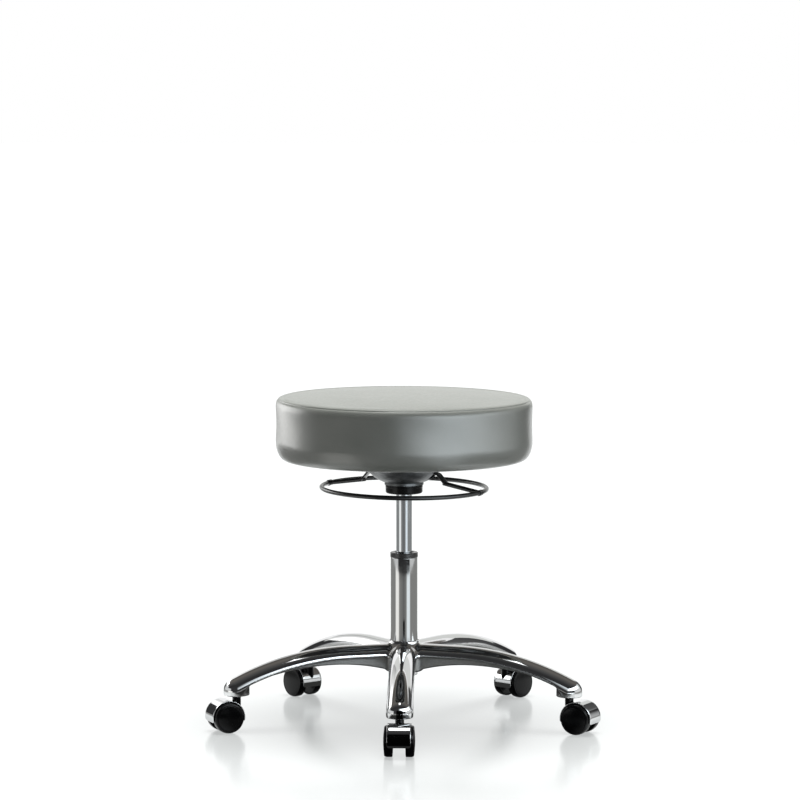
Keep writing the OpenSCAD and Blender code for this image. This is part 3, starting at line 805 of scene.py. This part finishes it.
def wheel(side):
    """Wheel and hub cap on one side. The profile's height runs outward from the middle of the caster."""
    inner, outer = WHEEL_GAP / 2, WHEEL_GAP / 2 + WHEEL_W - CAP_BULGE
    bore, hub_r, dish, recess, seam = 3.05, 8, inner + 0.8, outer - 2.2, 0.15
    body = rounded([
        (bore, inner, 0), (hub_r, inner, 0.5), (hub_r + 0.6, dish, 0.5), (WHEEL_R - 3, dish, 0.6),
        (WHEEL_R - 2.6, inner, 0.6), (WHEEL_R - 0.3, inner, 1.2), (WHEEL_R, inner + 2, 2.5),
        (WHEEL_R, outer - 4.5, 4), (WHEEL_R - 1.1, outer - 0.8, 1.6), (CAP_R + 1.2, outer, 0.8),
        (CAP_R, outer - 0.2, 0.3), (CAP_R, recess, 0.1), (bore, recess, 0),
    ], 0.5, 5)
    edge = CAP_R - seam
    dome_r = (edge ** 2 + CAP_BULGE ** 2) / (2 * CAP_BULGE)
    dome_z = outer + CAP_BULGE - 0.05 - dome_r
    leans = np.linspace(math.asin((edge - 0.5) / dome_r), 0, 25)
    cap = [(0, recess + 0.05), (edge, recess + 0.05), (edge, outer - 0.35), (edge - 0.15, outer - 0.1)]
    cap += [(dome_r * math.sin(a), dome_z + dome_r * math.cos(a)) for a in leans]
    turn = on_axle() if side > 0 else on_axle() @ Matrix.Rotation(math.radians(180), 4, "X")
    return moved(joined(lathe(body, 96, closed=True), lathe(cap, 96)), turn)


def hood():
    """A bent sheet with rounded corners and edges, as a run of flat sections from one end to the other."""
    edge, middle = (HOOD_R - HOOD_IN_R) / 2, (HOOD_R + HOOD_IN_R) / 2
    length = middle * HOOD_ROUND
    corner = [length - HOOD_CORNER + HOOD_CORNER * math.sin(a) for a in np.linspace(0, math.pi / 2, 16)[1:]]
    run = np.linspace(HOOD_CORNER - length, length - HOOD_CORNER, 81)
    places = [-t for t in reversed(corner)] + list(run) + corner
    columns = np.linspace(-1, 1, 13)
    turns = np.linspace(0, math.pi, 9)[1:-1]
    points = []
    for t in places:
        into_corner = max(abs(t) - (length - HOOD_CORNER), 0)
        into_edge = max(abs(t) - (length - edge), 0)
        half_width = HOOD_W / 2 - HOOD_CORNER + math.sqrt(max(HOOD_CORNER ** 2 - into_corner ** 2, 0))
        thickness = math.sqrt(max(edge ** 2 - into_edge ** 2, 1e-6))
        flat = half_width - thickness
        out_x, out_z = math.sin(t / middle), math.cos(t / middle)
        loop = [(c * flat, thickness) for c in columns]
        loop += [(flat + thickness * math.sin(a), thickness * math.cos(a)) for a in turns]
        loop += [(-across, -lift) for across, lift in loop]
        points += [(CASTER_TRAIL + out_x * (middle + lift), across, WHEEL_R + out_z * (middle + lift))
                   for across, lift in loop]
    return np.array(points), run_faces(len(places), len(points) // len(places))


def casters():
    shapes = {"hood": hood(), "wheel_left": wheel(1), "wheel_right": wheel(-1)}
    for index in range(1, ARM_COUNT + 1):
        for kind, shape in shapes.items():
            name = f"caster_{index}_{kind}"
            slot, body = ("hood_chrome", f"caster_{index}") if kind == "hood" else ("wheel_black", name)
            piece = new_object(f"{name}_shaped", *moved(shape, caster_place(index)))
            finish(piece, slot, body, name, sharp=35)


# Seat

SEAT_R = high("vinyl_cover", 0)
COVER_Z = low("vinyl_cover")
CROWN_Z = high("vinyl_cover")
SEAM_Z = COVER_Z + 102.5
SEAM_R = SEAT_R - 4
SEAM_RISE = 2.3
HEM_R = high("seat_board", 0) - 37
COVER_T = 1.4
DUST_R = high("dust_cover", 0)
STAPLE_COUNT = 30
# Depths of the cover's unevenness: its bulges, gathers and dips, and its slight lean to one side
SIDE_BULGE = 0.8
SEAM_GATHER = 0.14
JOINT_DIP = 1.3
HEM_GATHER = 0.7
RIM_GATHER = 0.12
TOP_DIP = 0.5
TOP_LEAN = 0.8
# Folds in the top near its rim: direction, distance in from the seam, length, width and depth
FOLDS = [(-74, 9, 26, 2.4, 0.9), (-86, 17, 20, 3.0, 0.6), (-62, 14, 16, 2.6, 0.5),
         (88, 20, 9, 5.0, 1.1), (72, 10, 18, 2.6, 0.5)]


def side_profile():
    """The cushion's side from under the board up to the lower stitching, as (radius, height)."""
    low_w, low_h, high_w, high_h, waist = 16, 31.6, 4, 12, 0.8
    reach = SEAT_R - low_w - HEM_R
    foot, shoulder = COVER_Z + low_h, SEAM_Z - 1 - high_h
    line = [(HEM_R + reach * i / 16, COVER_Z) for i in range(16)]
    line += [(SEAT_R - low_w + low_w * math.cos(a), foot + low_h * math.sin(a))
             for a in np.linspace(-math.pi / 2, 0, 20)]
    line += [(SEAT_R - waist * math.sin(math.pi * share), foot + share * (shoulder - foot))
             for share in np.linspace(0, 1, 22)[1:-1]]
    return line + [(SEAM_R + high_w * math.cos(a), shoulder + high_h * math.sin(a))
                   for a in np.linspace(0, math.pi * 0.45, 16)]


def seam_profile():
    """The sewn edge: a narrow rolled band between two shallow lines of stitching."""
    dip, band_w, band_h = 0.5, 7.5, SEAM_RISE + 0.6
    line = [(SEAM_R, SEAM_Z - 1.1), (SEAM_R - 0.5, SEAM_Z - 0.6 - dip), (SEAM_R - 0.4, SEAM_Z - 0.3)]
    line += [(SEAM_R - 0.3 - band_w * (1 - math.cos(a)), SEAM_Z - 0.3 + band_h * math.sin(a))
             for a in np.linspace(0.2, math.pi * 0.47, 12)]
    edge = SEAM_R - band_w - 0.4
    return line + [(edge, SEAM_Z + SEAM_RISE - dip * 0.4), (edge - 0.7, SEAM_Z + SEAM_RISE - dip)]


def crown_profile(start):
    """The top panel from the upper stitching in to the middle: a low even crown."""
    edge = start[0] - 0.8
    crown = CROWN_Z - SEAM_Z - SEAM_RISE
    line = []
    for share in np.linspace(0, 1, 76):
        radius = edge * (1 - share ** 1.5)
        settle = 0.6 * math.exp(-(edge - radius) / 1.8)
        line.append((radius, SEAM_Z + SEAM_RISE + crown * (1 - (radius / edge) ** 2) - settle))
    return line[:-1] + [(0, CROWN_Z)]


def waves(angle, *counts):
    """A smooth uneven value between -1 and 1 round a circle, from a few whole numbers of waves."""
    return sum(np.sin(count * angle + 1.7 * count ** 2) for count in counts) / len(counts)


def crease(points, turn, inset, length, width, depth):
    """Depth of a soft fold along the rim, at a direction round the seat and a distance in from the seam."""
    middle = math.radians(turn)
    centre = (SEAM_R - inset) * np.array([math.sin(middle), -math.cos(middle)])
    along = np.array([math.cos(middle + 0.1), math.sin(middle + 0.1)])
    offset = points[:, :2] - centre
    run = offset @ along
    across = offset @ np.array([-along[1], along[0]]) - 0.002 * run ** 2
    return depth * np.exp(-(run / length) ** 2 - (across / width) ** 2)


def settled(points):
    """The cover's unevenness: slow bulges, gathers at the seam and under the board, and a few folds."""
    x, y, z = points.T
    radius, angle = np.hypot(x, y), np.arctan2(x, -y)
    up = np.clip((z - COVER_Z) / (SEAM_Z - COVER_Z), 0, 1)
    side = np.clip((radius - SEAM_R + 12) / 12, 0, 1)
    top = np.clip((SEAM_R - radius) / 3, 0, 1) * (z > SEAM_Z - 1)
    below_top = side * (1 - top)
    out = SIDE_BULGE * below_top * np.sin(math.pi * up) * waves(angle + 0.5 * up, 4, 7, 11)
    out -= SEAM_GATHER * np.exp(-np.abs(z - SEAM_Z) / 8) * side * (1 + waves(angle, 61, 73, 88))
    from_joint = (math.pi - np.abs(angle)) * SEAT_R
    out -= JOINT_DIP * below_top * np.exp(-(from_joint / 2.2) ** 2) * np.clip(up * 8, 0, 1)
    under = np.exp(-(z - COVER_Z) / 5) * np.clip((radius - HEM_R) / 12, 0, 1)
    under *= np.clip((SEAT_R - 14 - radius) / 16, 0, 1)
    lift = HEM_GATHER * under * (1 + waves(angle + 0.06 * waves(angle, 9, 14), 57, 71)) ** 2
    inward = np.clip((SEAM_R - radius) / SEAM_R, 0, 1)
    lift -= top * RIM_GATHER * np.exp(-inward * SEAM_R / 10) * (1 + waves(angle, 53, 67, 79))
    lift -= top * TOP_DIP * (1 + np.sin(x / 41 + 0.7) * np.sin(y / 47 + 1.3)) * np.clip(inward * 6, 0, 1)
    for fold in FOLDS:
        lift -= top * crease(points, *fold)
    lift -= TOP_LEAN * np.clip((z - SEAM_Z + 12) / 12, 0, 1) * (1 + x / SEAT_R)
    scale = 1 + out / np.maximum(radius, 1)
    return np.stack([x * scale, y * scale, z + lift], 1)


def cushion():
    """Closed cover: hem, side, seam, crown and the flat inside under the foam."""
    seam = seam_profile()
    inside = [(0, COVER_Z + COVER_T), (HEM_R, COVER_Z + COVER_T)]
    profile = inside + side_profile() + seam + crown_profile(seam[-1])
    points, faces = lathe(profile, 480)
    outside = np.hypot(points[:, 0], points[:, 1]) > HEM_R + 0.1
    outside |= points[:, UP] > COVER_Z + COVER_T + 0.01
    piece = new_object("seat_cushion", np.where(outside[:, None], settled(points), points), faces)
    finish(piece, "vinyl", "seat", "vinyl_cover", "foam_core")


def dust_cover():
    """Thin cloth pulled over the underside and held by the staples, with shallow tension folds."""
    sag, cloth = 0.9, 0.5
    radii = [DUST_R * share for share in np.linspace(0, 1, 46)]
    profile = [(radius, 0) for radius in radii] + [(radius, cloth) for radius in radii[::-1]]
    points, faces = lathe(profile, 360)
    x, y, layer = points.T
    radius, angle = np.hypot(x, y), np.arctan2(y, x)
    free = np.clip((radius - FLANGE_R) / (DUST_R - FLANGE_R), 0, 1)
    hollow = np.clip(np.sin(math.pi * free), 0, 1) ** 0.7
    pull = np.cos(STAPLE_COUNT * angle) * free ** 3
    folds = 0.35 * free ** 2 * np.cos(STAPLE_COUNT * angle + 2 * waves(angle, 3, 5))
    height = SEAT_Z - sag * hollow * (0.8 + 0.2 * waves(angle, 5, 8)) - np.abs(folds) + layer
    scale = 1 - 0.8 * (1 - pull) * free ** 6 / np.maximum(radius, 1)
    piece = new_object("dust_cover_cloth", np.stack([x * scale, y * scale, height], 1), faces)
    finish(piece, "dust_cloth", "seat", "dust_cover", sharp=50)


star_base()
column()
collar()
gas_cylinder()
socket_cup()
release_ring()
ring_collars()
ring_spokes()
lever_bar()
casters()
cushion()
dust_cover()


# Studio

PHOTO_SIZE = 800
FOCAL_PX = 3849.774
SENSOR = 36
CAMERA_DISTANCE = 6500
CAMERA_HEIGHT = 1198.4
CAMERA_DOWN = 5.672
CAMERA_TURN = 1.41
AXIS_OFFSET_PX = 4.1
AMBIENT = 0.1
FLOOR_HALF = 30000
FLOOR_GLOSS = 0.3
# Floor glow near and far from the stool; the lower glow near it is a painted shadow round the stool.
GLOW_NEAR = 0.41
GLOW_FAR = 0.62
FAR_WALL_R = 4000
FAR_WALL_TOP = 1500
ROOM_R = 1100
ROOM_Z = 330
ROOM_END = 146
ROOM_SIDE = 80
LIGHT_HALF = 5.5
WINDOW_R = 1000
WINDOW_H = 380


def camera():
    """The photograph's view, with the column's axis a little off the middle."""
    data = bpy.data.cameras.new("photo_camera")
    data.sensor_width = SENSOR
    data.lens = FOCAL_PX / PHOTO_SIZE * SENSOR
    data.shift_x = -AXIS_OFFSET_PX / PHOTO_SIZE
    data.clip_end = 100
    piece = bpy.data.objects.new("photo_camera", data)
    turn = math.radians(CAMERA_TURN)
    away = CAMERA_DISTANCE * MM
    piece.location = (away * math.sin(turn), -away * math.cos(turn), CAMERA_HEIGHT * MM)
    piece.rotation_euler = (math.radians(90 - CAMERA_DOWN), 0, turn)
    bpy.context.scene.collection.objects.link(piece)
    bpy.context.scene.camera = piece


def fade_node(tree, value, start, end, first, last):
    """A value that goes smoothly from one number to another as its input goes from start to end."""
    smooth = ("interpolation_type", "SMOOTHSTEP")
    return node(tree, "MapRange", value, start, end, first, last, setting=smooth).outputs["Result"]


def mixed_shader(tree, share, first, second):
    return node(tree, "MixShader", share, first, second).outputs["Shader"]


def glow(tree, color, strength=1.0):
    """Light of this colour and strength, each a value or a socket."""
    return node(tree, "Emission", color, strength).outputs["Emission"]


def tones_round(tree, angle_of, stops):
    """A colour that follows the angle from the front, round the column (X) or over the object (Z)."""
    place = node(tree, "SeparateXYZ", node(tree, "TexCoord").outputs["Object"]).outputs
    forward = math_node(tree, "MULTIPLY", place["Y"], -1)
    angle = math_node(tree, "ARCTAN2", place[angle_of], forward)
    share = node(tree, "MapRange", angle, -math.pi, math.pi)
    tones = node(tree, "ValToRGB", share.outputs["Result"])
    elements = tones.color_ramp.elements
    while len(elements) < len(stops):
        elements.new(0.5)
    for element, (degrees, _) in zip(elements, stops):
        element.position = degrees / 360 + 0.5
    for element, (_, tone) in zip(elements, stops):
        element.color = (*tone, 1)
    return tones.outputs["Color"]


def card(name, points, faces, stops, angle_of="X", one_sided=False):
    """A card that only reflections see. Its tone is one colour, or follows stops of degrees and colour."""
    piece = new_object(name, points, faces)
    made = material(name)
    tree = made.node_tree
    shader = glow(tree, tones_round(tree, angle_of, stops) if isinstance(stops, list) else stops)
    if one_sided:
        behind = node(tree, "NewGeometry").outputs["Backfacing"]
        shader = mixed_shader(tree, behind, shader, node(tree, "BsdfTransparent").outputs["BSDF"])
    node(tree, "OutputMaterial", Surface=shader)
    piece.data.materials.append(made)
    for ray in ("camera", "diffuse", "shadow", "volume_scatter"):
        setattr(piece, f"visible_{ray}", False)


def curved_card(name, radius, low_edge, high_edge, columns, stops):
    """An upright card round the column, from its first stop's direction to its last."""
    turns = np.radians(np.linspace(stops[0][0], stops[-1][0], columns))
    points = [(radius * math.sin(a), -radius * math.cos(a), height)
              for height in (low_edge, high_edge) for a in turns]
    card(name, points, grid_faces(2, columns), stops)


def flat_card(name, half_width, place, low_edge, high_edge, tone, one_sided=False):
    """An upright flat card across the view that faces the stool."""
    w = math.copysign(half_width, place)
    points = [(-w, place, low_edge), (w, place, low_edge), (w, place, high_edge), (-w, place, high_edge)]
    card(name, points, [(0, 1, 2, 3)], tone, one_sided=one_sided)


def far_wall():
    """The far wall, as nearly upright faces mirror it: dark ahead, light at the sides, open behind."""
    dark, light, open_behind = (0.035, 0.035, 0.036), (0.72, 0.73, 0.73), (1, 1, 1)
    stops = [(-150, open_behind), (-146, dark), (-124, dark), (-118, light), (-54, light), (-46, dark),
             (46, dark), (54, light), (118, light), (124, dark), (146, dark), (150, open_behind)]
    curved_card("low_wall", FAR_WALL_R, 2, FAR_WALL_TOP, 61, stops)


def dark_room():
    """The room from above the wall to well behind overhead: dark, with one narrow light overhead."""
    dark = [(5, (0.12, 0.12, 0.12)), (16, (0.04, 0.04, 0.042)), (50, (0.03, 0.03, 0.031)),
            (68, (0.07, 0.07, 0.07))]
    light = [(73, (4.0, 4.05, 4.1)), (89, (4.0, 4.05, 4.1))]
    behind = [(95, (0.14, 0.13, 0.12)), (126, (0.1, 0.093, 0.085)), (138, (0.3, 0.28, 0.26)),
              (145, (1.0, 1.0, 1.0))]
    strips = {"left_room": (-ROOM_SIDE, -LIGHT_HALF, dark + behind),
              "middle_room": (-LIGHT_HALF, LIGHT_HALF, dark + light + behind),
              "right_room": (LIGHT_HALF, ROOM_SIDE, dark + behind)}
    rows, columns = 25, 21
    for name, (first, last, stops) in strips.items():
        points = []
        for up in np.radians(np.linspace(0, ROOM_END, rows)):
            for side in np.radians(np.linspace(first, last, columns)):
                x, y = math.sin(side), -math.cos(side) * math.cos(up)
                points.append((ROOM_R * x, ROOM_R * y, ROOM_Z + ROOM_R * math.cos(side) * math.sin(up)))
        card(name, points, grid_faces(rows, columns), stops, "Z")


def painted_floor_reflection(tree, place, radius):
    """Painted reflections of the floor: where glossy rays see it painted dark before and under the stool, and
    painted tones of bright and dim zones far out.
    """
    split = node(tree, "SeparateXYZ", place).outputs
    sideways = math_node(tree, "ABSOLUTE", split["X"], 0)
    turn = math_node(tree, "ARCTAN2", sideways, math_node(tree, "MULTIPLY", split["Y"], -1))
    in_front = fade_node(tree, turn, math.radians(34), math.radians(50), 1, 0)
    # Painted shadow under the stool, as reflections see the floor.
    beneath = fade_node(tree, radius, 0.29, 0.34, 1, 0)
    not_behind = fade_node(tree, turn, math.radians(146), math.radians(150), 1, 0)
    far_out = math_node(tree, "MULTIPLY", fade_node(tree, radius, 0.55, 0.8, 0, 1), not_behind)
    dark = math_node(tree, "MAXIMUM", math_node(tree, "MAXIMUM", in_front, beneath), far_out)
    # Painted tones that reflections see far out on the floor: bright bands at the sides, dim elsewhere and
    # darker ahead.
    dim, bright, cool, front = (0.30, 0.30, 0.29), (1.2, 1.19, 1.15), (1.05, 1.12, 1.16), (0.17, 0.17, 0.17)
    stops = [(-138, dim), (-77, dim), (-70, bright), (-47, bright), (-38, dim), (0, front),
             (20, dim), (27, cool), (48, cool), (56, dim), (138, dim)]
    return dark, glow(tree, tones_round(tree, "X", stops), fade_node(tree, radius, 0.55, 0.8, 0.12, 1))


def floor():
    """Pale glossy floor whose glow is a little darker round the stool, a painted shadow, and which shows
    painted dark zones and tones to glossy rays.
    """
    corners = [(x * FLOOR_HALF, y * FLOOR_HALF, 0) for x, y in ((-1, -1), (1, -1), (1, 1), (-1, 1))]
    piece = new_object("floor", corners, [(0, 1, 2, 3)])
    made = material("floor")
    tree = made.node_tree
    place = node(tree, "TexCoord").outputs["Object"]
    radius = node(tree, "VectorMath", place, setting=("operation", "LENGTH")).outputs["Value"]
    matte = node(tree, "BsdfDiffuse", Color=(0.14, 0.144, 0.143)).outputs["BSDF"]
    gloss = node(tree, "BsdfGlossy", Color=(1, 1, 1), Roughness=0.17).outputs["BSDF"]
    path = node(tree, "LightPath").outputs
    seen = math_node(tree, "MAXIMUM", path["Is Camera Ray"], path["Is Glossy Ray"])
    # Painted shadow: the floor's glow is dimmer near the stool and rises to its full level farther out.
    glow_with_painted_shadow = fade_node(tree, radius, 0.18, 0.52, GLOW_NEAR, GLOW_FAR)
    light = glow(tree, (0.975, 1, 0.995), math_node(tree, "MULTIPLY", seen, glow_with_painted_shadow))
    both = node(tree, "AddShader", mixed_shader(tree, FLOOR_GLOSS, matte, gloss), light).outputs["Shader"]
    dark, shade = painted_floor_reflection(tree, place, radius)
    # Glossy rays see the painted reflection instead of the floor where it is marked dark.
    mirrored = math_node(tree, "MULTIPLY", dark, path["Is Glossy Ray"])
    node(tree, "OutputMaterial", Surface=mixed_shader(tree, mirrored, both, shade))
    piece.data.materials.append(made)


def world():
    """White to the camera and in reflections, and softer as a light."""
    made = bpy.data.worlds.new("studio")
    bpy.context.scene.world = made
    made.use_nodes = True
    tree = made.node_tree
    tree.nodes.clear()
    lighting, seen = (node(tree, "Background", (1, 1, 1), strength).outputs["Background"]
                      for strength in (AMBIENT, 1.0))
    path = node(tree, "LightPath").outputs
    mirrored = math_node(tree, "MAXIMUM", path["Is Glossy Ray"], path["Is Transmission Ray"])
    any_of = math_node(tree, "MAXIMUM", path["Is Camera Ray"], mirrored)
    node(tree, "OutputWorld", Surface=mixed_shader(tree, any_of, lighting, seen))


def windows():
    """Soft bright windows, which the seat's glossy side picks up as broad bands."""
    dim, white, cool = (0.06, 0.06, 0.06), (3.2, 3.2, 3.16), (3.5, 3.8, 4.0)
    left = [(-158, (0.4, 0.4, 0.4)), (-142, (0.95, 0.95, 0.94)), (-124, white), (-102, white), (-88, dim)]
    right = [(-6, dim), (12, (1.8, 1.95, 2.05)), (28, cool), (48, cool), (66, (2.8, 3.0, 3.1)),
             (96, (0.95, 1.0, 1.0)), (118, (0.1, 0.1, 0.1)), (140, dim)]
    curved_card("left_window_card", WINDOW_R, ROOM_Z + 60, ROOM_Z + 60 + WINDOW_H, 25, left)
    curved_card("right_window_card", WINDOW_R, ROOM_Z - 10, ROOM_Z - 10 + WINDOW_H, 25, right)


def sun(name, elevation, turn, spread, strength, color=(1, 1, 1)):
    """A broad even light that comes from this elevation and direction round the column."""
    data = bpy.data.lights.new(name, "SUN")
    data.energy = strength
    data.angle = math.radians(spread)
    data.color = color
    piece = bpy.data.objects.new(name, data)
    up, round_ = math.radians(elevation), math.radians(turn)
    source = Vector((math.cos(up) * math.sin(round_), -math.cos(up) * math.cos(round_), math.sin(up)))
    piece.rotation_euler = source.to_track_quat("Z", "Y").to_euler()
    piece.visible_camera = False
    piece.visible_glossy = False
    bpy.context.scene.collection.objects.link(piece)


def studio():
    """Three soft lights, and the room that the metal and the vinyl mirror. The grey card behind dims the seat
    top's reflection. The small dark one before the front caster paints a dark reflection on its hood and
    boss."""
    sun("overhead", 82, 165, 40, 5.6)
    sun("left_window", 22, -95, 40, 0.12, (1.0, 0.995, 0.98))
    sun("right_window", 22, 50, 30, 0.38, (0.93, 0.97, 1.0))
    far_wall()
    dark_room()
    windows()
    flat_card("back_card", 900, 1000, 450, 950, (0.74, 0.75, 0.73))
    # A dark card that only reflections see: a painted dark reflection on the front caster's hood and boss.
    flat_card("front_dark_reflection_card", 48, -395, 2, 118, (0.001, 0.001, 0.001), one_sided=True)


camera()
world()
floor()
studio()
bpy.context.scene.view_settings.view_transform = "Standard"
